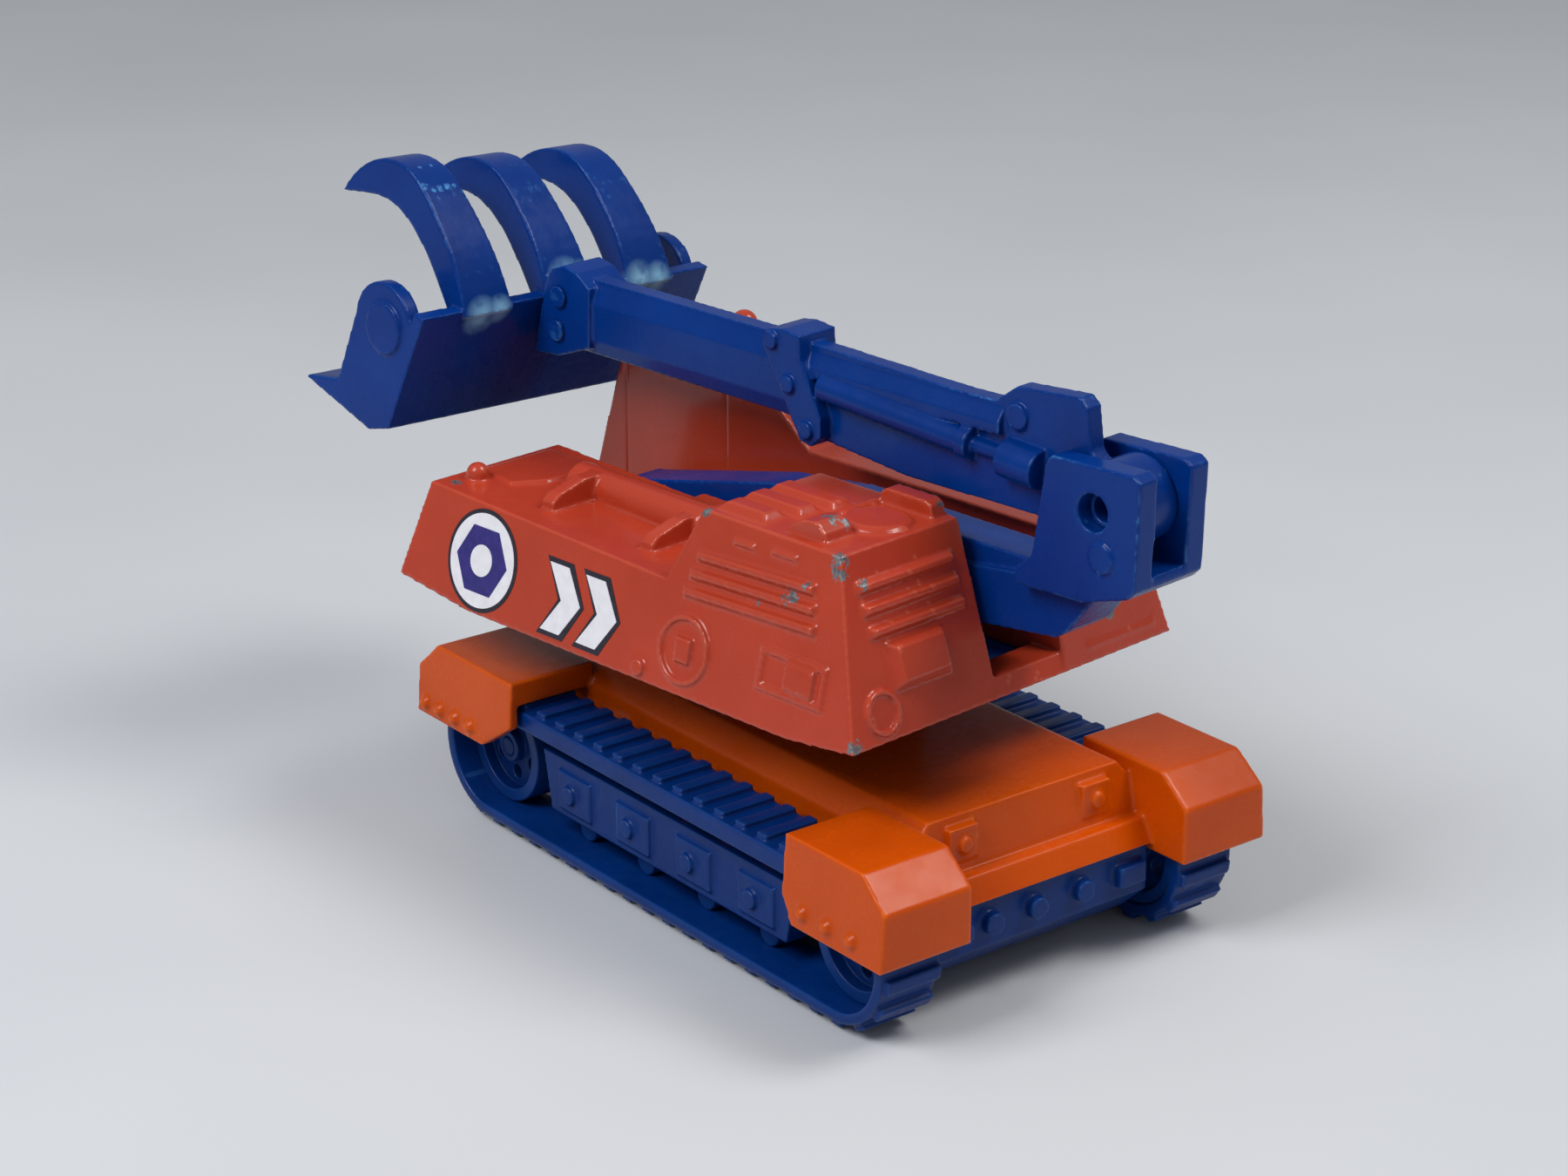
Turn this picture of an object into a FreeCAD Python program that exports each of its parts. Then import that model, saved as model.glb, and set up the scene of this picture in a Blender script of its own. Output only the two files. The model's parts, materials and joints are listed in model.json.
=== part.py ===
import FreeCAD, Part
import os
from math import cos, degrees, hypot, pi, radians, sin

# A small die-cast toy excavator on tracks, in millimetres. +X is forward, towards the elbow of the
# folded arm, +Y is the left side, +Z is up and the floor is z = 0. The undercarriage and the upper
# body are each modelled about the swivel axis (x = 0, y = 0). At the end the upper body is turned
# by REST_YAW and everything is moved so that the origin is the middle of the whole box, on the floor.

V = FreeCAD.Vector

# Overall sizes
REST_YAW = 6.5            # how far the upper body stands turned on the undercarriage, degrees
FENDER_END_X = 26.0       # half length over the fenders
FENDER_Y = 16.3           # half width over the fenders at their lower edge
DECK_TOP = 12.5           # top of the orange deck
SKIRT_Z = 17.3            # lower edge of the upper body
SLOT_Y = (-1.8, 4.5)      # the arm's slot through the upper body
ARM_Y = 1.05              # middle plane of the arm
BOOM_PIVOT = (-18.5, 21.3)
ELBOW = (25.1, 32.4)

# Undercarriage
DECK_HALF_X = 20.5
DECK_HALF_Y = 9.3
PANEL_FOOT_X = 21.3
LEDGE_X = 22.2
LEDGE_Z = 8.9
APRON_X = 23.1
APRON_Z = 7.3
TRACK_Y = (10.2, 14.9)
TRACK_WHEEL_X = 19.6
TRACK_WHEEL_Z = 5.4
TRACK_INNER_R = 4.0
TRACK_OUTER_R = 4.75
CLEAT_HEIGHT = 0.45
CLEAT_COUNT = 48
FRAME_Y = (10.4, 13.5)
PAN_HALF_WIDTH = 9.0
ROAD_ROLLER_X = (-10.2, -3.4, 3.4, 10.2)
CARRIER_ROLLER_X = (-11.3, -6.8, -2.3, 2.3, 6.8, 11.3)
AXLE_X = 13.0
AXLE_Z = 3.0
AXLE_R = 0.75
AXLE_FIT = 0.07
WHEEL_R = 3.0
RIVET_R = 1.5
RIVET_FIT = 0.08
BOSS_TOP = 17.1

# Upper body
BODY_REAR_X = -26.7
BODY_FRONT_X = 17.6
BODY_HALF_WIDTH = 15.25
BLOCK_TOP = 29.2
BLOCK_HALF_WIDTH = 12.3   # half width of the body at the height of the block's roof
REAR_DECK_TOP = 24.9
CAB_TOP = 32.3
CONSOLE_TOP = 27.4
WALL = 1.1
FLOOR_TOP = 18.4
FLOOR_BOTTOM = 17.5
FLOOR_SCREW_PLACES = ((-12.0, -8.0), (8.0, 9.5))
FLOOR_POST_TOPS = (23.8, 26.8)
REAR_TOP_X = -24.9
SKIRT_LINE = [(BODY_REAR_X, SKIRT_Z + 0.8), (-19.0, SKIRT_Z), (11.5, SKIRT_Z),
              (BODY_FRONT_X, SKIRT_Z + 0.6)]
BLOCK_FOOT_X = -0.9
BLOCK_REAR_X = 1.4
BLOCK_FRONT_X = 13.7
DECK_FRONT_Z = 24.2
CAB_FRONT_X = -12.3
WINDSCREEN_FOOT_X = -6.0
CONSOLE_FRONT_X = 15.5
CAB_REAR_X = -24.4
CAB_FOOT_X = -28.9

# Arm
CHEEK = 1.7               # thickness of a fork cheek
FORK_GAP = 3.1            # clear width between the cheeks
KNUCKLE_WIDTH = 2.9
STICK_Y = 0.275           # middle plane of the stick's plate, nearer the fork's right cheek
STICK_WIDTH = 1.35
KNUCKLE_R = 2.8
ELBOW_HOLE_R = 1.2
BOOM_WIDTH = 3.3
KEEL_WIDTH = 4.1
PIN_R = 0.9
PIN_FIT = 0.07
BRACKET_WIDTH = 3.5
BRACKET_Y = 0.5           # middle plane of the bracket and of the lug in it
BUCKET_PIN_PLACES = ((-25.0, 35.6), (-25.3, 33.1))

# Bucket
BUCKET_HALF_WIDTH = 13.4
BUCKET_TWIST = 3.0        # the bucket's left end hangs lower, degrees
TINE_WIDTH = 4.4
TINE_PITCH = 7.6
TINE_HEIGHTS = (0.985, 0.905, 0.88)
LIP_TIP = (-40.2, 28.75)
HEEL = (-33.1, 26.45)
WALL_FOOT = (-30.8, 27.0)
WALL_HEAD = (-27.0, 35.7)


# ---------------------------------------------------------------- shape helpers

def box(x, y, z):
    """A box from three (low, high) pairs."""
    return Part.makeBox(x[1] - x[0], y[1] - y[0], z[1] - z[0], V(x[0], y[0], z[0]))


def side_prism(outline, y):
    """An outline of (x, z) points, run across the model between two y values."""
    corners = [V(px, y[0], pz) for px, pz in outline]
    return Part.Face(Part.makePolygon(corners + [corners[0]])).extrude(V(0, y[1] - y[0], 0))


def front_prism(outline, x):
    """An outline of (y, z) points, run along the model between two x values."""
    corners = [V(x[0], py, pz) for py, pz in outline]
    return Part.Face(Part.makePolygon(corners + [corners[0]])).extrude(V(x[1] - x[0], 0, 0))


def cylinder_y(x, z, radius, y):
    return Part.makeCylinder(radius, y[1] - y[0], V(x, y[0], z), V(0, 1, 0))


def cylinder_z(x, y, radius, z):
    return Part.makeCylinder(radius, z[1] - z[0], V(x, y, z[0]), V(0, 0, 1))


def cylinder_x(y, z, radius, x):
    return Part.makeCylinder(radius, x[1] - x[0], V(x[0], y, z), V(1, 0, 0))


def fuse(shapes):
    """One solid from overlapping shapes."""
    return shapes[0].multiFuse(shapes[1:]).removeSplitter()


def group(shapes):
    """Separate solids kept together in one node."""
    return Part.makeCompound(shapes)


def mirror_y(shape):
    return shape.mirror(V(0, 0, 0), V(0, 1, 0))


def mirror_x(shape):
    return shape.mirror(V(0, 0, 0), V(1, 0, 0))


def stadium(radius, y, half_length, z):
    """A track-shaped loop: a straight run between two half circles."""
    middle = box((-half_length, half_length), y, (z - radius, z + radius))
    ends = [cylinder_y(x, z, radius, y) for x in (-half_length, half_length)]
    return fuse([middle] + ends)


def placed(shape, origin, across, up):
    """Puts a shape drawn on the XY plane onto a wall with the given across and up directions."""
    a = V(*across).normalize()
    b = V(*up).normalize()
    n = a.cross(b)
    matrix = FreeCAD.Matrix(a.x, b.x, n.x, origin[0],
                            a.y, b.y, n.y, origin[1],
                            a.z, b.z, n.z, origin[2])
    moved = shape.copy()
    moved.Placement = FreeCAD.Placement(matrix).multiply(shape.Placement)
    return moved


def flat_bar(x, y, height, sink=0.4):
    """A raised rectangle on the XY plane, sunk a little into the wall that carries it."""
    return box(x, y, (-sink, height))


def ridge(x, y, height, inset, sink=0.4):
    """A raised rib along X whose flanks and ends slope in by an inset."""
    low = box(x, y, (-sink, 0.0))
    base = [V(x[0], y[0], 0), V(x[1], y[0], 0), V(x[1], y[1], 0), V(x[0], y[1], 0)]
    top = [V(x[0] + inset, y[0] + inset, height), V(x[1] - inset, y[0] + inset, height),
           V(x[1] - inset, y[1] - inset, height), V(x[0] + inset, y[1] - inset, height)]
    wires = [Part.makePolygon(points + [points[0]]) for points in (base, top)]
    return low.fuse(Part.makeLoft(wires, True, True))


def ring(x, y, outer, inner, height, sink=0.4):
    ring_shape = cylinder_z(x, y, outer, (-sink, height))
    return ring_shape.cut(cylinder_z(x, y, inner, (-sink, height + 1.0)))


def dome(x, y, z, radius):
    return Part.makeSphere(radius, V(x, y, z))


# ---------------------------------------------------------------- undercarriage

def deck_outline(inset):
    """Side view of the deck between the fenders, stepped down at both ends."""
    half = [(DECK_HALF_X - inset, DECK_TOP - inset), (PANEL_FOOT_X - inset, LEDGE_Z - inset * 0.6),
            (LEDGE_X - inset, LEDGE_Z - inset * 0.6), (APRON_X - inset, APRON_Z - inset)]
    return half + [(-x, z) for x, z in reversed(half)]


def deck_centre():
    """The plate between the tracks: flat on top, with shoulders sloping down to the tracks."""
    shoulder_z = 10.9
    section = [(-DECK_HALF_Y, 6.0), (-DECK_HALF_Y, shoulder_z), (-8.0, DECK_TOP), (8.0, DECK_TOP),
               (DECK_HALF_Y, shoulder_z), (DECK_HALF_Y, 6.0)]
    outside = side_prism(deck_outline(0.0), (-DECK_HALF_Y, DECK_HALF_Y))
    outside = outside.common(front_prism(section, (-APRON_X, APRON_X)))
    thickness = 1.2
    inner_section = [(-8.3, 5.0), (-8.3, 10.2), (-7.4, DECK_TOP - thickness), (7.4, DECK_TOP - thickness),
                     (8.3, 10.2), (8.3, 5.0)]
    inside = side_prism(deck_outline(thickness), (-8.3, 8.3))
    inside = inside.fuse(box((-APRON_X + thickness, APRON_X - thickness), (-8.3, 8.3), (6.0, APRON_Z)))
    inside = inside.common(front_prism(inner_section, (-APRON_X, APRON_X)))
    return outside.cut(inside)


def fender(front):
    """Right-hand fender over one end of a track: a box with a slanted end, hollow over the track."""
    top_inner_x = 16.1 if front else 14.4
    if front:
        outline = [(top_inner_x, DECK_TOP), (top_inner_x, 8.4), (17.2, 6.7), (FENDER_END_X, 6.7),
                   (FENDER_END_X, 10.55), (23.6, DECK_TOP)]
    else:
        outline = [(top_inner_x, DECK_TOP), (top_inner_x, 9.2), (17.7, 7.0), (FENDER_END_X, 7.0),
                   (FENDER_END_X, 10.4), (23.7, DECK_TOP)]
    outside = side_prism(outline, (-FENDER_Y - 0.2, -DECK_HALF_Y + 0.3))
    draft = [(-FENDER_Y, 6.5), (-FENDER_Y + 0.45, DECK_TOP), (-8.0, DECK_TOP), (-8.0, 6.5)]
    outside = outside.common(front_prism(draft, (0, FENDER_END_X)))
    track_end = cylinder_y(TRACK_WHEEL_X, TRACK_WHEEL_Z, 5.35, (-15.3, -DECK_HALF_Y + 0.01))
    track_run = box((0, TRACK_WHEEL_X), (-15.3, -DECK_HALF_Y + 0.01), (TRACK_WHEEL_Z, TRACK_WHEEL_Z + 5.35))
    shape = outside.cut(track_end.fuse(track_run))
    return shape if front else mirror_x(shape)


def fender_rivets(front):
    """Small domes along the lower edge of a fender's side."""
    places = (18.3, 20.7, 23.1) if front else (-24.8, -23.0, -21.1, -19.2)
    return [dome(x, -FENDER_Y + 0.12, 7.9, 0.5) for x in places]


def end_plates():
    """Two small square plates with round bosses in the recessed panel at the deck's end."""
    shapes = []
    for y in (-5.6, 5.6):
        shapes.append(box((DECK_HALF_X - 0.6, PANEL_FOOT_X - 0.05), (y - 1.2, y + 1.2), (9.6, 11.9)))
        shapes.append(cylinder_x(y, 10.7, 0.55, (DECK_HALF_X, PANEL_FOOT_X + 0.3)))
    return shapes


def chassis_deck():
    shapes = [deck_centre()]
    for front in (True, False):
        right = [fender(front)] + fender_rivets(front)
        shapes += right + [mirror_y(shape) for shape in right]
    plates = end_plates()
    shapes += plates + [mirror_x(shape) for shape in plates]
    shapes.append(cylinder_z(0, 0, 7.0, (DECK_TOP - 1.2, BOSS_TOP)))
    deck = fuse(shapes)
    deck = deck.cut(cylinder_z(0, 0, RIVET_R, (0, 20)))
    for x in (-8.5, 8.5):
        deck = deck.fuse(cylinder_z(x, 0, 1.6, (3.2, DECK_TOP - 1.0)))
        deck = deck.cut(cylinder_z(x, 0, 0.6, (3.0, DECK_TOP - 1.5)))
    return deck.removeSplitter()


def bumper_studs():
    """Round bosses and one square block along the front bumper."""
    face_x = 22.6
    studs = [cylinder_x(y, 5.6, 0.75, (face_x - 1.0, face_x + 0.75)) for y in (-7.1, -4.6, -0.9, 3.1)]
    studs.append(box((face_x - 1.0, face_x + 0.8), (6.0, 8.3), (4.9, 6.3)))
    return studs


def base_pan():
    """The blue pan under the deck, with openings and bearing bars for the hidden wheels."""
    outline = [(-22.6, 3.9), (-20.6, 2.0), (20.6, 2.0), (22.6, 3.9), (22.6, 7.2), (-22.6, 7.2)]
    inner = [(-21.3, 4.3), (-20.1, 3.2), (20.1, 3.2), (21.3, 4.3), (21.3, 9.0), (-21.3, 9.0)]
    pan = side_prism(outline, (-PAN_HALF_WIDTH, PAN_HALF_WIDTH))
    pan = pan.cut(side_prism(inner, (-8.2, 8.2)))
    for x in (-AXLE_X, AXLE_X):
        pan = pan.cut(box((x - 3.6, x + 3.6), (-8.2, 8.2), (0, 3.3)))
        for y in (-2.6, 2.6):
            bar = box((x - 3.8, x + 3.8), (y - 1.0, y + 1.0), (2.0, 4.6))
            pan = pan.fuse(bar)
        pan = pan.cut(cylinder_y(x, AXLE_Z, AXLE_R + AXLE_FIT, (-8, 8)))
    studs = bumper_studs()
    rear_studs = [mirror_x(stud) for stud in studs]
    pan = pan.multiFuse(studs + rear_studs)
    pan = pan.cut(cylinder_z(0, 0, RIVET_R, (0, 20)))
    for x in (-8.5, 8.5):
        pan = pan.cut(cylinder_z(x, 0, 0.75, (0, 6)))
        pan = pan.cut(cylinder_z(x, 0, 1.4, (0, 2.6)))
    return pan.removeSplitter()


def base_screws():
    shapes = []
    for x in (-8.5, 8.5):
        head = cylinder_z(x, 0, 1.35, (2.05, 2.6))
        shank = cylinder_z(x, 0, 0.6, (2.6, 9.0))
        slot = box((x - 1.0, x + 1.0), (-0.15, 0.15), (1.9, 2.3))
        shapes.append(head.fuse(shank).cut(slot))
    return group(shapes)


def track_band():
    """Right-hand track: a loop with cross cleats all round and a lip under the top run."""
    band = stadium(TRACK_OUTER_R, TRACK_Y, TRACK_WHEEL_X, TRACK_WHEEL_Z)
    band = band.cut(stadium(TRACK_INNER_R, (0, 20), TRACK_WHEEL_X, TRACK_WHEEL_Z))
    straight = 2 * TRACK_WHEEL_X
    around = pi * TRACK_OUTER_R
    pitch = (2 * straight + 2 * around) / CLEAT_COUNT
    cleats = [cleat(index * pitch, straight, around) for index in range(CLEAT_COUNT)]
    lip = box((-15.4, 15.4), (TRACK_Y[1] - 0.9, TRACK_Y[1]), (8.8, 9.7))
    return mirror_y(band.multiFuse(cleats + [lip]).removeSplitter())


def cleat(distance, straight, around):
    """One cleat, at a distance along the loop from the rear end of the top run."""
    across = (TRACK_Y[0] + 0.1, TRACK_Y[1] - 0.35)
    block = box((-0.5, 0.5), across, (TRACK_OUTER_R - 0.3, TRACK_OUTER_R + CLEAT_HEIGHT))
    if distance < straight:
        x, turn = distance - straight / 2, 0.0
    elif distance < straight + around:
        x, turn = straight / 2, (distance - straight) / TRACK_OUTER_R
    elif distance < 2 * straight + around:
        x, turn = straight / 2 - (distance - straight - around), pi
    else:
        x, turn = -straight / 2, pi + (distance - 2 * straight - around) / TRACK_OUTER_R
    block.rotate(V(0, 0, 0), V(0, 1, 0), degrees(turn))
    block.translate(V(x, 0, TRACK_WHEEL_Z))
    return block


def rollers():
    """Right-hand road rollers under the side frame and carrier rollers above it."""
    shapes = [cylinder_y(x, 2.35, 0.94, (-12.6, -10.9)) for x in ROAD_ROLLER_X]
    shapes += [cylinder_y(x, 8.25, 0.95, (-12.9, -10.9)) for x in CARRIER_ROLLER_X]
    return shapes


def track_frame():
    """Right-hand side frame with four square plates, its wheel arms and its lugs on the pan."""
    outline = [(-14.1, 7.3), (14.1, 7.3), (13.2, 3.0), (-13.2, 3.0)]
    frame = side_prism(outline, (-FRAME_Y[1], -FRAME_Y[0]))
    face = -FRAME_Y[1]
    shapes = [frame]
    for x in ROAD_ROLLER_X:
        shapes.append(box((x - 1.8, x + 2.0), (face - 0.3, face + 0.1), (3.7, 6.5)))
        shapes.append(cylinder_y(x - 0.2, 5.1, 0.65, (face - 0.7, face)))
    for side in (-1, 1):
        near, far = sorted((side * 8.0, side * 11.0))
        shapes.append(box((near, far), (-FRAME_Y[0] - 0.1, -PAN_HALF_WIDTH), (4.2, 6.6)))
        near, far = sorted((side * 13.0, side * (TRACK_WHEEL_X + 0.8)))
        shapes.append(box((near, far), (-FRAME_Y[0] + 0.02, -9.7), (4.4, 6.4)))
        near, far = sorted((side * 13.0, side * 13.6))
        shapes.append(box((near, far), (-FRAME_Y[0] - 0.3, -9.7), (4.4, 6.4)))
        shapes.append(cylinder_y(side * TRACK_WHEEL_X, TRACK_WHEEL_Z, 0.7, (-12.9, -9.8)))
    return fuse(shapes).cut(group(rollers()))


def track_wheel(x):
    """Right-hand end wheel: a deep rim, a dished web with six holes and a hub."""
    z = TRACK_WHEEL_Z
    rim = cylinder_y(x, z, TRACK_INNER_R - 0.02, (-13.0, -10.45)).cut(cylinder_y(x, z, 3.1, (-14, -10)))
    web = cylinder_y(x, z, 3.2, (-12.1, -11.0))
    hub = cylinder_y(x, z, 1.15, (-12.8, -10.45))
    wheel = fuse([rim, web, hub])
    for index in range(6):
        angle = radians(30 + 60 * index)
        wheel = wheel.cut(cylinder_y(x + 2.15 * cos(angle), z + 2.15 * sin(angle), 0.5, (-14, -10)))
    return wheel.cut(cylinder_y(x, z, 0.7, (-14, -9)))


def axle(x):
    return cylinder_y(x, AXLE_Z, AXLE_R, (-7.7, 7.7))


def running_wheels(x):
    """The two hidden wheels on one axle, each with a raised hub."""
    right = cylinder_y(x, AXLE_Z, WHEEL_R, (-7.2, -4.4)).fuse(cylinder_y(x, AXLE_Z, 1.4, (-7.4, -4.1)))
    right = right.cut(cylinder_y(x, AXLE_Z, AXLE_R, (-8, -4)))
    return group([right, mirror_y(right)])


def swivel_rivet():
    """Through the pan, the deck boss and the floor plate, with a head at each end."""
    shank = cylinder_z(0, 0, RIVET_R, (1.6, FLOOR_TOP + 0.2))
    top_head = Part.makeCone(2.2, 1.7, 0.6, V(0, 0, FLOOR_TOP + 0.08), V(0, 0, 1))
    low_head = Part.makeCone(2.2, 2.7, 0.4, V(0, 0, 1.6), V(0, 0, 1))
    return fuse([shank, top_head, low_head])


# ---------------------------------------------------------------- upper body

def wall_width(z):
    """Half width of the upper body, which narrows upwards on both sides."""
    slope = (BODY_HALF_WIDTH - BLOCK_HALF_WIDTH) / (BLOCK_TOP - SKIRT_Z)
    return BODY_HALF_WIDTH - slope * (z - SKIRT_Z)


def near_outline():
    """Right half in side view: a low rear deck, then the engine block."""
    return SKIRT_LINE + [(BLOCK_FRONT_X, BLOCK_TOP), (BLOCK_REAR_X, BLOCK_TOP),
                         (BLOCK_FOOT_X, DECK_FRONT_Z), (REAR_TOP_X, REAR_DECK_TOP)]


def far_outline():
    """Left half in side view: the cab at the rear, then the console in front of its windscreen."""
    top = [(CONSOLE_FRONT_X, CONSOLE_TOP), (WINDSCREEN_FOOT_X, CONSOLE_TOP),
           (CAB_FRONT_X, CAB_TOP), (CAB_REAR_X, CAB_TOP)]
    return [(CAB_FOOT_X, SKIRT_Z + 0.9)] + SKIRT_LINE[1:] + top


def near_half():
    tall = BLOCK_TOP + 1.0
    section = [(-wall_width(SKIRT_Z - 1), SKIRT_Z - 1), (-wall_width(tall), tall),
               (SLOT_Y[0], tall), (SLOT_Y[0], SKIRT_Z - 1)]
    outside = side_prism(near_outline(), (-16, SLOT_Y[0]))
    outside = outside.common(front_prism(section, (BODY_REAR_X - 1, BODY_FRONT_X + 1)))
    roof = BLOCK_TOP - WALL
    inner_outline = [(BODY_REAR_X + 1.2, 16.0), (REAR_TOP_X + 1.4, REAR_DECK_TOP - WALL - 0.4),
                     (BLOCK_FOOT_X + 0.6, DECK_FRONT_Z - WALL - 0.3), (BLOCK_REAR_X + 1.1, roof),
                     (BLOCK_FRONT_X - 1.3, roof), (BODY_FRONT_X - 1.2, 16.0)]
    inner_section = [(-wall_width(16) + WALL, 16), (-wall_width(roof) + WALL, roof),
                     (SLOT_Y[0] - WALL, roof), (SLOT_Y[0] - WALL, 16)]
    inside = side_prism(inner_outline, (-16, SLOT_Y[0] - WALL))
    return outside.cut(inside.common(front_prism(inner_section, (BODY_REAR_X, BODY_FRONT_X))))


def far_half():
    tall = CAB_TOP + 1.0
    section = [(wall_width(SKIRT_Z - 1), SKIRT_Z - 1), (wall_width(tall), tall),
               (SLOT_Y[1], tall), (SLOT_Y[1], SKIRT_Z - 1)]
    outside = side_prism(far_outline(), (SLOT_Y[1], 16))
    outside = outside.common(front_prism(section, (CAB_FOOT_X - 1, BODY_FRONT_X + 1)))
    roof = CAB_TOP - WALL
    inner_outline = [(CAB_FOOT_X + 1.0, 16.0), (CAB_REAR_X + 1.0, roof), (CAB_FRONT_X - 0.6, roof),
                     (WINDSCREEN_FOOT_X - 0.5, CONSOLE_TOP - WALL),
                     (CONSOLE_FRONT_X - 1.3, CONSOLE_TOP - WALL),
                     (BODY_FRONT_X - 1.2, 16.0)]
    inner_section = [(wall_width(16) - WALL, 16), (wall_width(roof) - WALL, roof),
                     (SLOT_Y[1] + WALL, roof), (SLOT_Y[1] + WALL, 16)]
    inside = side_prism(inner_outline, (SLOT_Y[1] + WALL, 16))
    return outside.cut(inside.common(front_prism(inner_section, (CAB_FOOT_X, BODY_FRONT_X))))


def slot_rims():
    """Low cross bars that join the two halves at the front and at the rear."""
    y = (SLOT_Y[0] - 0.5, SLOT_Y[1] + 0.5)
    front = [(14.6, SKIRT_Z + 0.2), (BODY_FRONT_X, SKIRT_Z + 0.6), (17.1, 19.2), (14.6, 19.2)]
    rear = [(-24.9, SKIRT_Z + 0.6), (BODY_REAR_X, SKIRT_Z + 0.8), (-26.4, 19.4), (-24.9, 19.4)]
    return [side_prism(front, y), side_prism(rear, y)]


def side_wall(shape):
    """Puts a relief shape on the right side wall: drawn with X along the body and Y up from the skirt."""
    up = (0, BODY_HALF_WIDTH - BLOCK_HALF_WIDTH, BLOCK_TOP - SKIRT_Z)
    return placed(shape, (0, -BODY_HALF_WIDTH, SKIRT_Z), (1, 0, 0), up)


def front_wall(shape):
    """Puts a relief shape on the front wall: drawn with X towards the left side and Y up."""
    foot = SKIRT_Z + 0.6
    up = (BLOCK_FRONT_X - BODY_FRONT_X, 0, BLOCK_TOP - foot)
    return placed(shape, (BODY_FRONT_X, 0, foot), (0, 1, 0), up)


def side_relief():
    """Louvres, ring, latch plate and small boss on the right side of the engine block."""
    shapes = []
    for low, left, right in ((9.35, 1.7, 12.3), (8.1, 1.3, 12.6), (6.85, 1.0, 12.9)):
        rib = ridge((left, right), (-0.42, 0.42), 0.42, 0.24)
        rib.rotate(V(left, 0, 0), V(0, 0, 1), 2.0)
        rib.translate(V(0, low, 0))
        shapes.append(rib)
    for left, right, up in ((4.6, 6.6, 11.0), (8.0, 10.3, 11.2)):
        shapes.append(ridge((left, right), (up - 0.25, up + 0.25), 0.2, 0.14))
    shapes.append(ring(1.9, 3.1, 2.3, 1.95, 0.3))
    shapes.append(flat_bar((1.2, 2.6), (2.3, 3.9), 0.38))
    rim = flat_bar((8.6, 14.4), (2.5, 5.3), 0.22).cut(flat_bar((9.0, 14.0), (2.9, 4.9), 1.0, 1.0))
    shapes.append(rim)
    shapes.append(flat_bar((11.0, 13.5), (3.1, 4.7), 0.36))
    shapes.append(cylinder_z(-1.9, 0.9, 0.55, (-0.4, 0.35)))
    return [side_wall(shape) for shape in shapes]


def front_relief():
    """Louvres, square plate, round plate and the console's panel on the front wall."""
    shapes = []
    for up, left, right in ((9.7, -11.7, -3.1), (8.25, -11.65, -3.0), (6.8, -11.5, -2.9)):
        shapes.append(ridge((left, right), (up - 0.42, up + 0.42), 0.45, 0.24))
    shapes.append(ridge((-10.5, -5.4), (2.8, 6.0), 0.75, 0.5))
    shapes.append(ring(-11.9, 1.9, 1.45, 1.15, 0.28))
    panel = flat_bar((6.9, 13.6), (0.9, 2.7), 0.18).cut(flat_bar((7.3, 13.2), (1.2, 2.4), 1.0, 1.0))
    shapes.append(panel)
    return [front_wall(shape) for shape in shapes]


def roof_relief():
    """Slats, hatch, wedge and grab bar on the roof of the engine block."""
    top = BLOCK_TOP
    shapes = []
    for y, start, end in ((-10.5, 1.9, 6.2), (-8.2, 1.7, 7.0), (-5.9, 1.7, 7.6)):
        slat = ridge((start, end), (y - 1.05, y + 1.05), 0.5, 0.45)
        slat.translate(V(0, 0, top))
        shapes.append(slat)
    shapes.append(box((8.0, 8.5), (-8.4, -3.4), (top - 0.2, top + 0.3)))
    shapes.append(cylinder_z(10.9, -6.2, 2.25, (top - 0.3, top + 0.28)))
    shapes.append(cylinder_z(10.9, -6.2, 1.95, (top - 0.3, top + 0.4)))
    wedge = [(8.0, top - 0.2), (11.7, top - 0.2), (11.3, top + 0.6), (10.6, top + 1.2),
             (9.4, top + 1.05), (8.3, top + 0.5)]
    shapes.append(side_prism(wedge, (-11.4, -8.9)))
    bar = [(8.3, top - 0.2), (13.1, top - 0.2), (12.8, top + 0.9), (12.3, top + 1.1),
           (8.9, top + 1.1), (8.4, top + 0.8)]
    shapes.append(side_prism(bar, (SLOT_Y[0] - 1.6, SLOT_Y[0] - 0.3)))
    return shapes


def rear_deck_relief():
    """Muffler with its two gussets, filler cap and lip on the low rear deck."""
    axis_y = -6.1
    axis_z = REAR_DECK_TOP
    shapes = [cylinder_x(axis_y, axis_z, 1.45, (-17.6, -4.4))]
    shapes.append(cylinder_x(axis_y, axis_z, 1.15, (-4.5, -3.4)))
    shapes.append(cylinder_x(axis_y, axis_z, 1.55, (-3.5, -2.7)))
    for x, low in ((-15.3, 24.9), (-5.4, 24.5)):
        outline = [(-11.1, 23.6), (-11.1, low + 0.3), (-10.5, low + 0.8), (-8.2, low + 1.4),
                   (-6.6, low + 1.4), (-6.6, 23.6)]
        shapes.append(front_prism(outline, (x - 0.6, x + 0.6)))
    shapes.append(cylinder_z(-23.2, -10.6, 0.8, (24.0, 25.3)))
    shapes.append(dome(-23.2, -10.6, 25.2, 0.8))
    cap = cylinder_z(-8.2, SLOT_Y[0] - 0.6, 1.5, (24.0, REAR_DECK_TOP + 0.1))
    shapes.append(cap.common(box((-10, -6), (-4, SLOT_Y[0] - 0.05), (23.5, 30))))
    low = 24.2
    step = [V(x, y, low) for x, y in
            ((-24.2, -9.4), (-20.6, -9.8), (-19.2, -7.6), (-19.0, -3.2), (-24.2, -3.2))]
    plateau = Part.Face(Part.makePolygon(step + [step[0]]))
    shapes.append(plateau.extrude(V(0, 0, REAR_DECK_TOP + 0.1 - low)))
    return shapes


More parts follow.
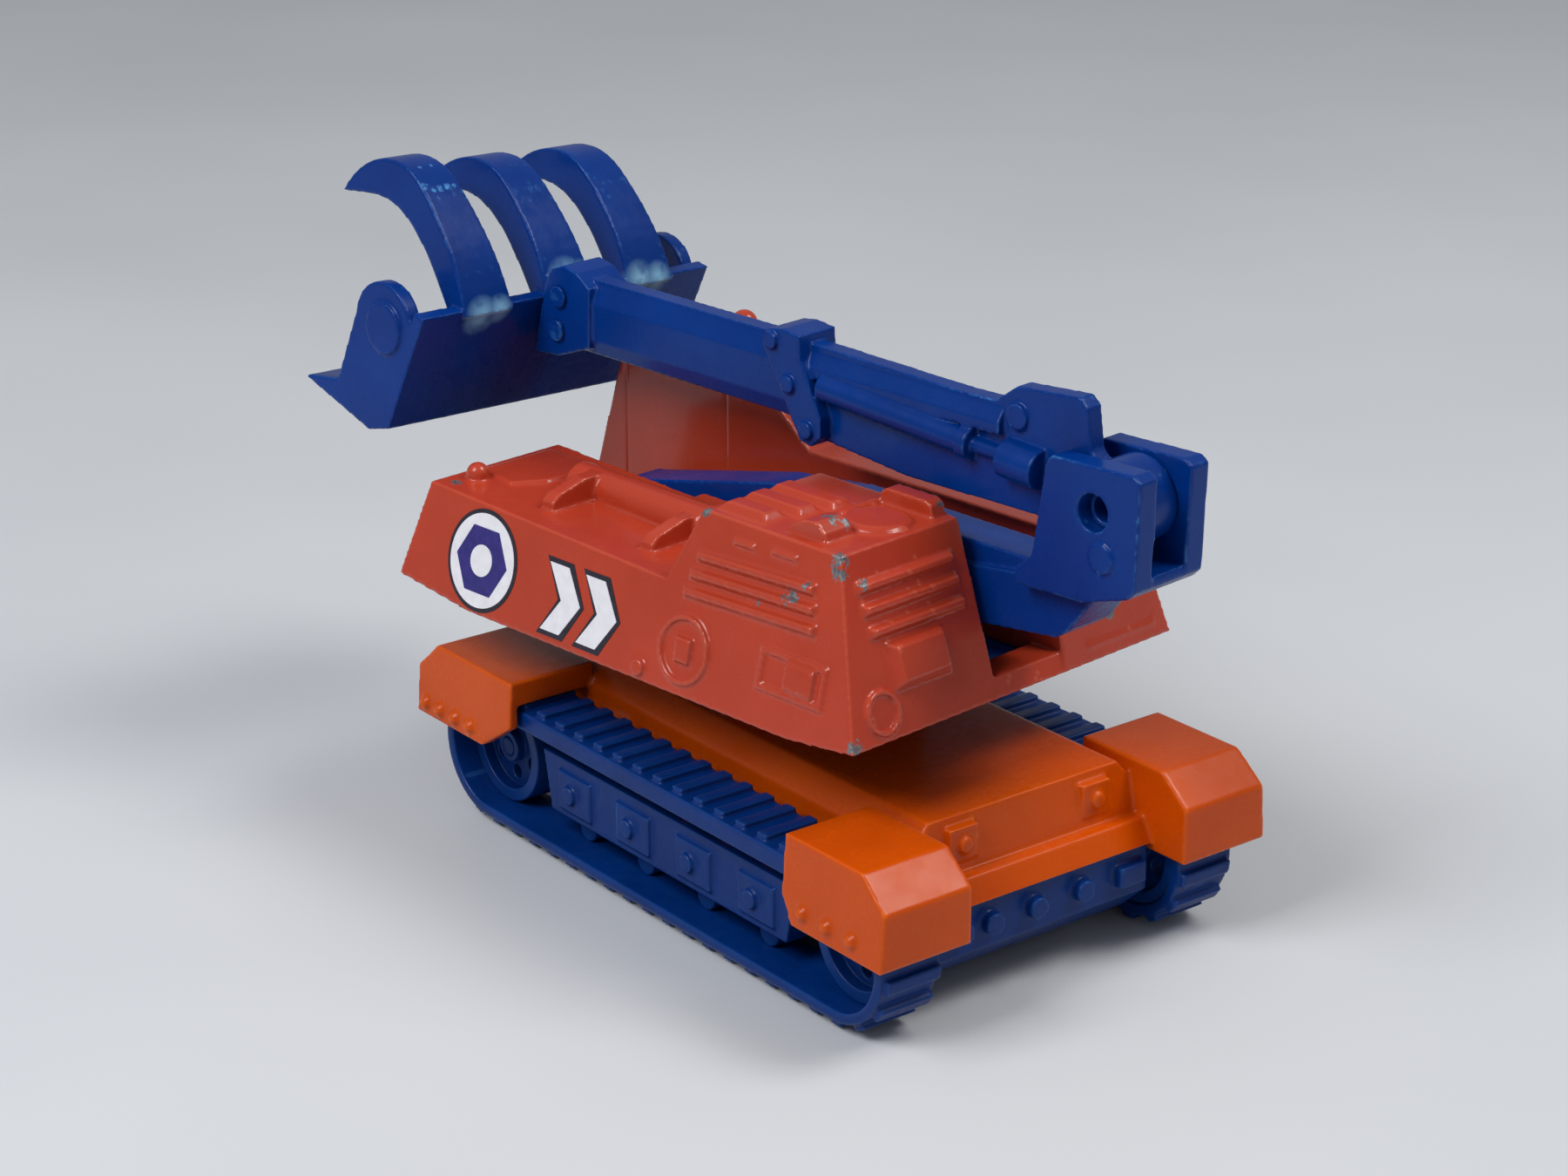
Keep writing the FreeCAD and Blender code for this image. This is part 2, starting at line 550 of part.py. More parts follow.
def cab_relief():
    """Beacon and roof panel of the cab."""
    beacon = cylinder_z(-16.2, 8.2, 0.95, (CAB_TOP - 0.2, CAB_TOP + 1.4))
    beacon = beacon.fuse(dome(-16.2, 8.2, CAB_TOP + 1.3, 0.95))
    panel = box((-23.6, -18.6), (6.2, 10.6), (CAB_TOP - 0.2, CAB_TOP + 0.25))
    return [beacon, panel]


def door_seams():
    """Thin vertical grooves in the cab's inner wall."""
    depth = (SLOT_Y[1] - 0.1, SLOT_Y[1] + 0.15)
    return [box((x - 0.12, x + 0.12), depth, (20.5, CAB_TOP - 0.8)) for x in (-14.2, -24.6)]


def windscreen_place(shape):
    """Puts a shape on the windscreen's slope: X towards the left side, Y up the slope."""
    up = (CAB_FRONT_X - WINDSCREEN_FOOT_X, 0, CAB_TOP - CONSOLE_TOP)
    return placed(shape, (WINDSCREEN_FOOT_X, 0, CONSOLE_TOP), (0, 1, 0), up)


def far_wall_place(shape):
    """Puts a shape on the left side wall: X backwards along the body, Y up from the skirt."""
    up = (0, BLOCK_HALF_WIDTH - BODY_HALF_WIDTH, BLOCK_TOP - SKIRT_Z)
    return placed(shape, (0, BODY_HALF_WIDTH, SKIRT_Z), (-1, 0, 0), up)


def rear_wall_place(shape):
    """Puts a shape on the cab's rear wall: X towards the right side, Y up from the skirt."""
    up = (CAB_REAR_X - CAB_FOOT_X, 0, CAB_TOP - SKIRT_Z - 0.9)
    return placed(shape, (CAB_FOOT_X, 0, SKIRT_Z + 0.9), (0, -1, 0), up)


def window_shapes(depth, margin):
    """The three window panes of the cab, as slabs of a depth, smaller by a margin all round."""
    slope_length = hypot(CAB_FRONT_X - WINDSCREEN_FOOT_X, CAB_TOP - CONSOLE_TOP)
    sill = 1.3 + margin
    inner_side = SLOT_Y[1] + sill
    span = (-depth, 0.5)
    front = box((inner_side, 10.6 - margin), (sill, slope_length - 1.2 - margin), span)
    side = box((14.2 + margin, 22.9 - margin), (10.2 + margin, 14.6 - margin), span)
    rear = box((-10.7 + margin, -inner_side), (9.2 + margin, 13.8 - margin), span)
    return [windscreen_place(front), far_wall_place(side), rear_wall_place(rear)]


def upper_casting():
    shapes = [near_half(), far_half()] + slot_rims() + side_relief() + front_relief()
    shapes += roof_relief() + rear_deck_relief() + cab_relief()
    casting = fuse(shapes)
    recess = group(window_shapes(0.45, 0.0) + door_seams())
    casting = casting.cut(recess)
    floor_space = box((-25.3, 15.2), (-13.7, 13.7), (SKIRT_Z - 1, FLOOR_TOP))
    rivet_space = cylinder_z(0, 0, 2.6, (SKIRT_Z - 1, FLOOR_TOP + 1.2))
    casting = casting.cut(group([floor_space, rivet_space]))
    for (x, y), top in zip(FLOOR_SCREW_PLACES, FLOOR_POST_TOPS):
        post = cylinder_z(x, y, 1.5, (FLOOR_TOP, top)).cut(cylinder_z(x, y, 0.55, (0, 21.5)))
        casting = casting.fuse(post)
    return casting.cut(boom_pin()).removeSplitter()


def cab_glazing():
    """Window panes that stand a little back in their recesses."""
    trim = 0.25
    outside = [windscreen_place(box((0, 20), (-5, 20), (-trim, 2))),
               far_wall_place(box((0, 40), (-5, 30), (-trim, 2))),
               rear_wall_place(box((-20, 0), (-5, 30), (-trim, 2)))]
    panes = window_shapes(0.45, 0.06)
    return group([pane.cut(cutter) for pane, cutter in zip(panes, outside)])


def floor_plate():
    """Floor of the upper body, which turns round the swivel rivet."""
    plate = box((-25.2, 15.1), (-13.6, 13.6), (FLOOR_BOTTOM, FLOOR_TOP))
    plate = plate.cut(cylinder_z(0, 0, RIVET_R + RIVET_FIT, (0, 20)))
    for x, y in FLOOR_SCREW_PLACES:
        plate = plate.cut(cylinder_z(x, y, 0.6, (0, 20)))
        plate = plate.cut(cylinder_z(x, y, 1.3, (0, FLOOR_BOTTOM + 0.3)))
    return plate


def floor_screws():
    shapes = []
    for x, y in FLOOR_SCREW_PLACES:
        head = cylinder_z(x, y, 1.25, (FLOOR_BOTTOM - 0.15, FLOOR_BOTTOM + 0.3))
        shank = cylinder_z(x, y, 0.55, (FLOOR_BOTTOM + 0.3, 21.5))
        slot = box((x - 0.9, x + 0.9), (y - 0.14, y + 0.14), (FLOOR_BOTTOM - 0.3, FLOOR_BOTTOM + 0.05))
        shapes.append(head.fuse(shank).cut(slot))
    return group(shapes)


def boom_pin():
    return cylinder_y(BOOM_PIVOT[0], BOOM_PIVOT[1], PIN_R, (SLOT_Y[0] - 1.0, SLOT_Y[1] + 1.0))


# ---------------------------------------------------------------- arm

def centred(width, middle=ARM_Y):
    """The (low, high) pair of y values for a piece of this width about a middle plane."""
    return (middle - width / 2, middle + width / 2)


def boom_web():
    """Upper web of the boom, from the pivot in the slot to the fork."""
    px, pz = BOOM_PIVOT
    outline = [(px, pz - 2.2), (px - 1.5, pz - 1.7), (px - 2.2, pz), (px - 1.6, pz + 1.6), (px, pz + 2.2),
               (-5.0, 26.6), (2.0, 27.4), (22.0, 27.4), (22.0, 25.4), (16.0, 23.6)]
    web = side_prism(outline, centred(BOOM_WIDTH))
    return web.fuse(cylinder_y(px, pz, 2.2, centred(BOOM_WIDTH)))


def boom_keel():
    """Deeper, wider lower part of the boom in front of the slot."""
    outline = [(-2.0, 21.9), (3.0, 24.6), (14.5, 26.0), (24.8, 27.2), (25.0, 26.9), (22.4, 23.6),
               (21.4, 22.9), (15.4, 22.2), (3.0, 21.2)]
    return side_prism(outline, centred(KEEL_WIDTH))


def fork_cheek(y):
    """One cheek of the fork, a slightly raked plate with blunt corners."""
    outline = [(20.5, 27.4), (20.15, 27.9), (21.3, 34.9), (21.7, 35.3), (28.2, 35.5), (28.8, 35.1),
               (28.6, 28.1), (28.0, 27.5)]
    return side_prism(outline, y)


def boom():
    half_gap = FORK_GAP / 2
    near = (ARM_Y - half_gap - CHEEK, ARM_Y - half_gap)
    far = (ARM_Y + half_gap, ARM_Y + half_gap + CHEEK)
    floor_outline = [(19.0, 26.2), (24.5, 26.4), (28.0, 27.5), (28.6, 28.1), (28.5, 28.7),
                     (20.6, 28.7), (19.0, 27.4)]
    floor = side_prism(floor_outline, (near[0], far[1]))
    bolt_ends = ((near[0] - 0.25, near[0] + 0.3), (far[1] - 0.3, far[1] + 0.25))
    bolts = [cylinder_y(26.0, 29.7, 0.95, ends) for ends in bolt_ends]
    shape = fuse([boom_web(), boom_keel(), fork_cheek(near), fork_cheek(far), floor] + bolts)
    shape = shape.cut(cylinder_y(BOOM_PIVOT[0], BOOM_PIVOT[1], PIN_R + PIN_FIT, (-5, 8)))
    shape = shape.cut(cylinder_y(ELBOW[0], ELBOW[1], ELBOW_HOLE_R, (-5, 8)))
    return shape.removeSplitter()


def elbow_pin():
    """Pin through the knuckle, held in the cheeks, sunk below their faces and dished at both ends."""
    sunk = 1.1
    half = FORK_GAP / 2 + CHEEK - sunk
    pin = cylinder_y(ELBOW[0], ELBOW[1], ELBOW_HOLE_R, (ARM_Y - half, ARM_Y + half))
    for side in (-1, 1):
        end, deep = ARM_Y + side * half, ARM_Y + side * (half - 1.2)
        pin = pin.cut(cylinder_y(ELBOW[0], ELBOW[1], 0.85, sorted((end, deep))))
    return pin


def stick_core():
    """Middle plate of the stick: knuckle, head block, deep inner part and slimmer outer part."""
    ex, ez = ELBOW
    inner = [(18.9, 30.3), (8.0, 30.1), (-1.0, 30.9), (-3.5, 32.0), (-24.0, 31.8), (-24.0, 37.2),
             (-2.5, 37.2), (12.6, 36.9), (15.4, 37.0), (17.2, 38.3), (22.3, 38.7), (22.9, 38.1),
             (23.3, 35.5), (ex, ez + 1.0), (ex, ez - KNUCKLE_R + 0.01)]
    core = side_prism(inner, centred(STICK_WIDTH, STICK_Y))
    knuckle = cylinder_y(ex, ez, KNUCKLE_R, centred(KNUCKLE_WIDTH))
    return core.fuse(knuckle)


def stick_flanges():
    """Thicker outer part with bevelled edges, and the bevelled top rail of the inner part."""
    half = 1.25
    y = STICK_Y
    section = [(y - half, 33.0), (y - half, 35.6), (y - 0.6, 37.2), (y + 0.6, 37.2), (y + half, 35.6),
               (y + half, 33.0), (y + half - 0.4, 31.9), (y - half + 0.4, 31.9)]
    outer = front_prism(section, (-24.0, -1.0))
    rail_section = [(y - half, 35.7), (y - 0.6, 36.8), (y + 0.6, 36.8), (y + half, 35.7),
                    (y + half, 35.0), (y - half, 35.0)]
    rail = front_prism(rail_section, (-1.5, 16.2))
    return [outer, rail]


def ram(side):
    """Moulded hydraulic ram on one side of the stick: barrel, rod and rod end."""
    y = STICK_Y + side * (STICK_WIDTH / 2 + 0.2)
    slope = -1.3 / 22.0
    start = V(0.5, y, 34.6)
    along = V(1, 0, slope)
    barrel = Part.makeCylinder(0.95, 13.4, start, along)
    collar = Part.makeCylinder(1.1, 0.9, start + along * 12.5, along)
    rod = Part.makeCylinder(0.5, 4.6, start + along * 12.8, along)
    rod_end = Part.makeCylinder(1.3, 3.0, V(16.6, y, 33.6), along)
    return [barrel, collar, rod, rod_end]


def link_plate(side):
    """Slanted link plate with three boss heads, standing across the middle of the stick."""
    outline = [(-4.3, 36.2), (-4.6, 37.1), (-3.9, 37.8), (-2.6, 38.0), (-1.0, 37.8), (-0.9, 36.2),
               (1.0, 32.6), (1.0, 31.3), (0.1, 30.5), (-0.9, 30.7), (-1.6, 31.8), (-2.6, 33.6)]
    face = STICK_Y + side * 1.7
    plate = side_prism(outline, sorted((face, STICK_Y)))
    centres = ((-3.5, 37.1), (-1.9, 34.4), (-0.2, 31.6))
    heads = [cylinder_y(x, z, 0.6, sorted((face + side * 0.35, STICK_Y))) for x, z in centres]
    return [plate] + heads


def end_bracket():
    """Bracket at the stick's tip that holds the bucket's back wall."""
    outline = [(-25.3, 31.2), (-27.9, 31.0), (-26.6, 36.2), (-25.9, 37.4), (-24.6, 37.9),
               (-23.2, 37.6), (-21.9, 36.7), (-22.0, 32.4)]
    return side_prism(outline, centred(BRACKET_WIDTH, BRACKET_Y))


def stick():
    shapes = [stick_core(), end_bracket()] + stick_flanges()
    for side in (-1, 1):
        shapes += ram(side) + link_plate(side)
        shapes.append(cylinder_y(17.4, 36.4, 0.85, sorted((STICK_Y + side * 1.0, STICK_Y))))
    shape = fuse(shapes)
    shape = shape.cut(cylinder_y(ELBOW[0], ELBOW[1], ELBOW_HOLE_R + PIN_FIT, (-5, 8)))
    for x, z in BUCKET_PIN_PLACES:
        shape = shape.cut(cylinder_y(x, z, 0.6, (-5, 8)))
    shape = shape.cut(bucket_lug_space())
    return shape.removeSplitter()


def bucket_lug_space():
    """Slot in the bracket for the bucket's lug."""
    return box((-30.0, -23.7), centred(1.6, BRACKET_Y), (31.9, 37.0))


def bucket_pins():
    """Two pins with domed heads through the bracket and the bucket's lug."""
    pins = []
    low, high = centred(BRACKET_WIDTH, BRACKET_Y)
    for x, z in BUCKET_PIN_PLACES:
        shank = cylinder_y(x, z, 0.6, (low, high))
        heads = [cylinder_y(x, z, 0.75, ends) for ends in ((low - 0.3, low), (high, high + 0.3))]
        pins.append(fuse([shank] + heads))
    return group(pins)


# ---------------------------------------------------------------- bucket

def bucket_shell():
    """Bottom plate with its lip, heel and back wall, in one bent plate."""
    outline = [LIP_TIP, HEEL, WALL_FOOT, WALL_HEAD, (-28.1, 35.9), (-31.2, 28.3), (-32.8, 27.9),
               (-36.9, 29.4), (-40.0, 28.95)]
    return side_prism(outline, centred(2 * BUCKET_HALF_WIDTH))


def ear(side):
    """End plate of the bucket: slanted front edge, round top and a raised disc outside."""
    outer = ARM_Y + side * BUCKET_HALF_WIDTH
    inner = outer - side * 1.1
    top = cylinder_y(-31.5, 34.4, 3.0, sorted((outer, inner)))
    outline = [(-36.6, 29.4), (-36.3, 27.9), HEEL, WALL_FOOT, (-27.7, 34.4), (-28.5, 35.0), (-34.4, 35.0)]
    plate = side_prism(outline, sorted((outer, inner)))
    disc = cylinder_y(-31.2, 34.2, 1.85, sorted((outer - side * 0.5, outer + side * 0.3)))
    return [plate, top, disc]


def tine(right_edge, height):
    """A hooked tine that rises from the back wall's top edge, narrows upwards and ends in a point."""
    root = 35.2
    crest = 45.0
    outline = [(-26.9, 35.2), (-28.2, 38.9), (-30.4, 42.2), (-33.3, 44.8), (-36.2, 45.0),
               (-38.8, 43.8), (-40.6, 41.9), (-37.8, 42.2), (-35.0, 42.0), (-32.9, 40.8),
               (-30.9, 38.6), (-28.7, 35.2)]
    tip = 6
    points = [V(x, right_edge, root + (z - root) * height) for x, z in outline]
    outer_edge = Part.BSplineCurve()
    outer_edge.interpolate(points[:tip + 1])
    inner_edge = Part.BSplineCurve()
    inner_edge.interpolate(points[tip:])
    foot = Part.makeLine(points[-1], points[0])
    face = Part.Face(Part.Wire([outer_edge.toShape(), inner_edge.toShape(), foot]))
    left_edge = right_edge + TINE_WIDTH
    front_view = [(right_edge - 1, root - 1), (left_edge, root - 1), (left_edge, root),
                  (left_edge - 1.3, crest), (left_edge - 1.5, crest + 1), (right_edge - 1, crest + 1)]
    return face.extrude(V(0, TINE_WIDTH, 0)).common(front_prism(front_view, (-42, -26)))


def bucket():
    """Shell, ears and tines, twisted a little on the stick, with a straight lug for the bracket."""
    middle_edge = ARM_Y - TINE_WIDTH / 2
    tines = [tine(middle_edge + step * TINE_PITCH, height)
             for step, height in zip((-1, 0, 1), TINE_HEIGHTS)]
    shape = fuse([bucket_shell()] + ear(-1) + ear(1) + tines)
    shape.rotate(V(0, ARM_Y - BUCKET_HALF_WIDTH, HEEL[1]), V(1, 0, 0), -BUCKET_TWIST)
    shape = shape.cut(end_bracket())
    lug = [(-28.8, 32.2), (-23.95, 32.2), (-23.95, 36.4), (-27.4, 36.4)]
    lug = side_prism(lug, centred(1.5, BRACKET_Y))
    shape = shape.fuse(lug)
    for x, z in BUCKET_PIN_PLACES:
        shape = shape.cut(cylinder_y(x, z, 0.6, (-5, 8)))
    return shape.removeSplitter()


# ---------------------------------------------------------------- writing the nodes

def undercarriage_nodes():
    band = track_band()
    frame = track_frame()
    roller_set = group(rollers())
    front_wheel = track_wheel(TRACK_WHEEL_X)
    rear_wheel = track_wheel(-TRACK_WHEEL_X)
    return {
        "chassis_deck": chassis_deck(),
        "base_pan": base_pan(),
        "right_track_band": band,
        "left_track_band": mirror_y(band),
        "right_track_frame": frame,
        "left_track_frame": mirror_y(frame),
        "right_front_track_wheel": front_wheel,
        "left_front_track_wheel": mirror_y(front_wheel),
        "right_rear_track_wheel": rear_wheel,
        "left_rear_track_wheel": mirror_y(rear_wheel),
        "right_rollers": roller_set,
        "left_rollers": mirror_y(roller_set),
        "swivel_rivet": swivel_rivet(),
        "base_screws": base_screws(),
        "front_axle": axle(AXLE_X),
        "front_wheels": running_wheels(AXLE_X),
        "rear_axle": axle(-AXLE_X),
        "rear_wheels": running_wheels(-AXLE_X),
    }


def upper_nodes():
    return {
        "upper_casting": upper_casting(),
        "floor_plate": floor_plate(),
        "floor_screws": floor_screws(),
        "boom_pin": boom_pin(),
        "cab_glazing": cab_glazing(),
        "boom": boom(),
        "elbow_pin": elbow_pin(),
        "stick": stick(),
        "bucket": bucket(),
        "bucket_pins": bucket_pins(),
    }


def whole_box(shapes):
    bounds = FreeCAD.BoundBox()
    for shape in shapes:
        bounds.add(shape.optimalBoundingBox(False, False))
    return bounds


def main():
    os.makedirs("parts", exist_ok=True)
    nodes = undercarriage_nodes()
    for name, shape in upper_nodes().items():
        shape.rotate(V(0, 0, 0), V(0, 0, 1), REST_YAW)
        nodes[name] = shape
    bounds = whole_box(nodes.values())
    shift = V(-bounds.Center.x, -bounds.Center.y, -bounds.ZMin)
    print("size", round(bounds.XLength, 3), round(bounds.YLength, 3), round(bounds.ZLength, 3))
    print("swivel axis at", round(shift.x, 4), round(shift.y, 4), "floor shift", round(shift.z, 4))
    for name, shape in nodes.items():
        shape.translate(shift)
        print(name, shape.ShapeType, len(shape.Solids), round(shape.Volume, 2), shape.isValid())
        shape.exportStep("parts/" + name + ".step")


main()
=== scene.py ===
import bmesh
import bpy
import json
from math import atan2, cos, pi, radians, sin
from mathutils import Matrix, Vector


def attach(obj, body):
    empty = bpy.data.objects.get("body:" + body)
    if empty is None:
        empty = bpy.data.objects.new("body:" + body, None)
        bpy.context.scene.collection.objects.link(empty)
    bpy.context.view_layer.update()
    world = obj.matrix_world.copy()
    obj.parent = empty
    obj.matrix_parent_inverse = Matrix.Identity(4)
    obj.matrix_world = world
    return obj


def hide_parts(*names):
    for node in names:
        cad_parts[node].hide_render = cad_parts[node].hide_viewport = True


# A small die-cast toy excavator: orange plastic deck, blue plastic tracks and arm, painted metal
# upper body. Every CAD node gets a soft-edged skin with a procedural finish. Lengths are in metres
# unless a comment says millimetres. Points on the body are in the upper body's own frame.

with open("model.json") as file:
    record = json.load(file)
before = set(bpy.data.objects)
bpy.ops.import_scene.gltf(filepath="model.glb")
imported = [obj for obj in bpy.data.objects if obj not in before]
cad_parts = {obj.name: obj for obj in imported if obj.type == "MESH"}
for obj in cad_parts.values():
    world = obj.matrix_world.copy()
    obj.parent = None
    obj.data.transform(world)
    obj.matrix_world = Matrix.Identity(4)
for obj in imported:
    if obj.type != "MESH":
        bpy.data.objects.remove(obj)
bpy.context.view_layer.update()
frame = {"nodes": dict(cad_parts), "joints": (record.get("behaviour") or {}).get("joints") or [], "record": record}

MM = 0.001
JOINTS = {joint["name"]: joint for joint in frame["joints"]}
SLOTS = {part["node"]: part["material_slot"] for part in frame["record"]["subparts"]}
BODIES = frame["record"]["behaviour"]["bodies"]

SWIVEL = Vector(JOINTS["swivel"]["pos_m"])
SWIVEL.z = 0.0
HINGE_LINE = JOINTS["boom_pivot"]["axis"]
REST_YAW = atan2(HINGE_LINE[0], -HINGE_LINE[1])

# Clean-up of the CAD meshes: the welding distance, the angle below which faces are joined up, the
# angle above which an edge is rounded, and the one above which it stays sharp in the shading
WELD = 2e-6
FLAT = radians(0.6)
SHARP = radians(24)
SMOOTH_LIMIT = radians(40)

# For each large piece: grid size in millimetres, and how many times the grid is relaxed
ROUNDING = {
    "chassis_deck": (0.15, 3), "upper_casting": (0.13, 2), "boom": (0.12, 4), "stick": (0.1, 3),
    "bucket": (0.11, 5), "right_track_band": (0.13, 2), "left_track_band": (0.13, 2),
    "base_pan": (0.15, 2), "right_track_frame": (0.13, 2), "left_track_frame": (0.13, 2),
}
# Edge rounding of every other piece, in millimetres
SMALL_EDGE = 0.1

# Right side wall of the upper body: its foot line in millimetres, and its lean
WALL_Y = -15.25
WALL_Z = 17.3
WALL_UP = Vector((0.0, 2.95, 11.9)).normalized()

# Printed marks on that wall, in millimetres: along the wall from the swivel, and up it
PRINT_THICKNESS = 0.035
BADGE = (-18.4, 3.8)
BADGE_R = 3.55
BADGE_RIM = 0.3
HEXAGON_R = 2.6
BADGE_CENTRE_R = 1.1
CHEVRON_STARTS = (-11.7, -8.1)
CHEVRON_HEIGHTS = (0.9, 5.5)
CHEVRON_WIDTH = 1.9
CHEVRON_POINT = 1.6
CHEVRON_RIM = 0.34

# Camera: right front, a little above. Lens, sensor and the eye's place, which is counted from the
# foot of the swivel axis, are in millimetres.
LENS = 80.02
SENSOR = 36.0
VIEW_AZIMUTH = radians(-37.873)
VIEW_ELEVATION = radians(20.732)
EYE = (170.85, -136.27, 102.91)

# The middle span of a noise value, which is stretched to 0..1
NOISE_SPAN = (0.3, 0.7)

# Colours, as the two ends that a surface varies between, or one for a worn place
RED_PAINT = ((0.40, 0.038, 0.014, 1.0), (0.46, 0.046, 0.018, 1.0))
RUBBED_PAINT = (0.60, 0.13, 0.07, 1.0)
CHIPPED_METAL = ((0.11, 0.11, 0.12, 1.0), (0.28, 0.28, 0.29, 1.0))
ARM_BLUE = ((0.0, 0.024, 0.17, 1.0), (0.0, 0.032, 0.21, 1.0))
RUBBED_BLUE = (0.08, 0.30, 0.62, 1.0)
BENT_BLUE = (0.22, 0.46, 0.66, 1.0)
TRACK_BLUE = ((0.0, 0.02, 0.13, 1.0), (0.0, 0.028, 0.17, 1.0))
TRACK_DUST = (0.03, 0.07, 0.15, 1.0)
RUBBED_TRACK = (0.04, 0.16, 0.46, 1.0)
ORANGE = ((0.50, 0.058, 0.0, 1.0), (0.57, 0.072, 0.0, 1.0))
RUBBED_ORANGE = (0.80, 0.18, 0.02, 1.0)
STEEL = ((0.42, 0.42, 0.43, 1.0), (0.6, 0.6, 0.61, 1.0))
GLAZING = ((0.008, 0.008, 0.01, 1.0), (0.02, 0.02, 0.025, 1.0))
WHITE_PRINT = ((0.72, 0.70, 0.74, 1.0), (0.80, 0.78, 0.82, 1.0))
DARK_PRINT = ((0.010, 0.008, 0.016, 1.0), (0.02, 0.016, 0.03, 1.0))
BLUE_PRINT = ((0.016, 0.012, 0.14, 1.0), (0.03, 0.02, 0.19, 1.0))
FLOOR = ((0.56, 0.58, 0.605, 1.0), (0.60, 0.615, 0.635, 1.0))
ROOM = ((0.34, 0.35, 0.37, 1.0), (0.46, 0.48, 0.51, 1.0))
COOL_LAMP = (0.97, 0.98, 1.0)
WARM_LAMP = (1.0, 0.98, 0.95)


def body_point(x, y, z):
    """A point on the body, in millimetres, as a place in the row frame at rest."""
    return SWIVEL + Matrix.Rotation(REST_YAW, 3, "Z") @ (Vector((x, y, z)) * MM)


def wall_point(x, up, out=0.0):
    """A point on the right side wall: along the body, up the wall and out of it."""
    lean = Vector((0.0, -WALL_UP.z, WALL_UP.y))
    place = Vector((x, WALL_Y, WALL_Z)) + WALL_UP * up + lean * out
    return body_point(*place)


# ---------------------------------------------------------------- node helpers

def start_material(name):
    material = bpy.data.materials.new(name)
    material.use_nodes = True
    return material, material.node_tree, material.node_tree.nodes["Principled BSDF"]


def add(tree, kind, values=None, **settings):
    """A shader node with its settings and its inputs: a socket is linked, anything else is set."""
    node = tree.nodes.new(kind)
    for key, value in settings.items():
        setattr(node, key, value)
    for key, value in (values or {}).items():
        connect(tree, node.inputs[key], value)
    return node


def connect(tree, socket, value):
    if isinstance(value, bpy.types.NodeSocket):
        tree.links.new(value, socket)
    else:
        socket.default_value = value


def maths(tree, operation, first, second=0.0, clamp=False):
    node = add(tree, "ShaderNodeMath", {0: first, 1: second}, operation=operation, use_clamp=clamp)
    return node.outputs[0]


def ramp(tree, value, low, high, start=0.0, end=1.0):
    """Maps low..high of a value to start..end, clamped."""
    node = add(tree, "ShaderNodeMapRange", {"Value": value, "From Min": low, "From Max": high,
                                            "To Min": start, "To Max": end})
    return node.outputs["Result"]


def blend_colour(tree, factor, first, second):
    node = add(tree, "ShaderNodeMix", data_type="RGBA")
    connect(tree, node.inputs[0], factor)
    connect(tree, node.inputs[6], first)
    connect(tree, node.inputs[7], second)
    return node.outputs[2]


def place_socket(tree):
    return add(tree, "ShaderNodeTexCoord").outputs["Object"]


def grain(tree, place, size_mm, detail=2.0, roughness=0.5):
    """Noise whose patches are about size_mm across."""
    node = add(tree, "ShaderNodeTexNoise", {"Vector": place, "Scale": 1.0 / (size_mm * MM),
                                            "Detail": detail, "Roughness": roughness})
    return node.outputs["Fac"]


def mottle(tree, place, size_mm, detail=2.0, start=0.0, end=1.0):
    """Soft patches about size_mm across that go from start to end."""
    return ramp(tree, grain(tree, place, size_mm, detail), *NOISE_SPAN, start, end)


def edge_mask(tree, low=0.515, high=0.58):
    """1 on the crests of outer edges, 0 on flat faces and in corners."""
    return ramp(tree, add(tree, "ShaderNodeNewGeometry").outputs["Pointiness"], low, high)


def spots(tree, place, centres, ragged):
    """1 inside ragged blots about the given (point, radius in mm) pairs, 0 outside."""
    total = None
    for centre, radius in centres:
        gap = add(tree, "ShaderNodeVectorMath", {0: place, 1: centre}, operation="DISTANCE")
        reach = maths(tree, "MULTIPLY", ragged, radius * MM * 2.0)
        inside = maths(tree, "LESS_THAN", gap.outputs["Value"], reach)
        total = inside if total is None else maths(tree, "MAXIMUM", total, inside)
    return total


def soft_spots(tree, place, centres):
    """1 at the given points, fading to 0 at their radius."""
    total = None
    for centre, radius in centres:
        gap = add(tree, "ShaderNodeVectorMath", {0: place, 1: centre}, operation="DISTANCE")
        near = ramp(tree, gap.outputs["Value"], radius * MM * 0.25, radius * MM, 1.0, 0.0)
        total = near if total is None else maths(tree, "MAXIMUM", total, near)
    return total


def bump(tree, shader, height, strength, depth_mm):
    node = add(tree, "ShaderNodeBump", {"Height": height, "Strength": strength,
                                        "Distance": depth_mm * MM})
    connect(tree, shader.inputs["Normal"], node.outputs[0])


# ---------------------------------------------------------------- finishes

# Chips in the paint: where, and their radius in millimetres
PAINT_CHIPS = (
    (body_point(13.6, -12.3, 29.0), 0.55), (body_point(13.8, -12.5, 28.2), 0.4),
    (body_point(10.4, -9.9, 30.3), 0.5), (body_point(11.1, -9.2, 30.0), 0.3),
    (body_point(1.6, -12.2, 29.1), 0.35), (body_point(-23.6, -12.3, 24.9), 0.4),
    (body_point(14.6, -11.2, 27.3), 0.4), (body_point(17.4, -14.7, 18.2), 0.45),
    (wall_point(10.2, 8.9, 0.3), 0.45), (wall_point(10.8, 8.8, 0.3), 0.3),
    (wall_point(7.3, 7.7, 0.3), 0.3), (wall_point(11.6, 10.0, 0.2), 0.3),
    (body_point(13.0, -2.6, 30.1), 0.3), (body_point(16.9, 9.5, 20.4), 0.35),
    (body_point(-22.0, 13.0, 24.5), 0.4), (body_point(-24.4, 10.5, 33.0), 0.45),
)


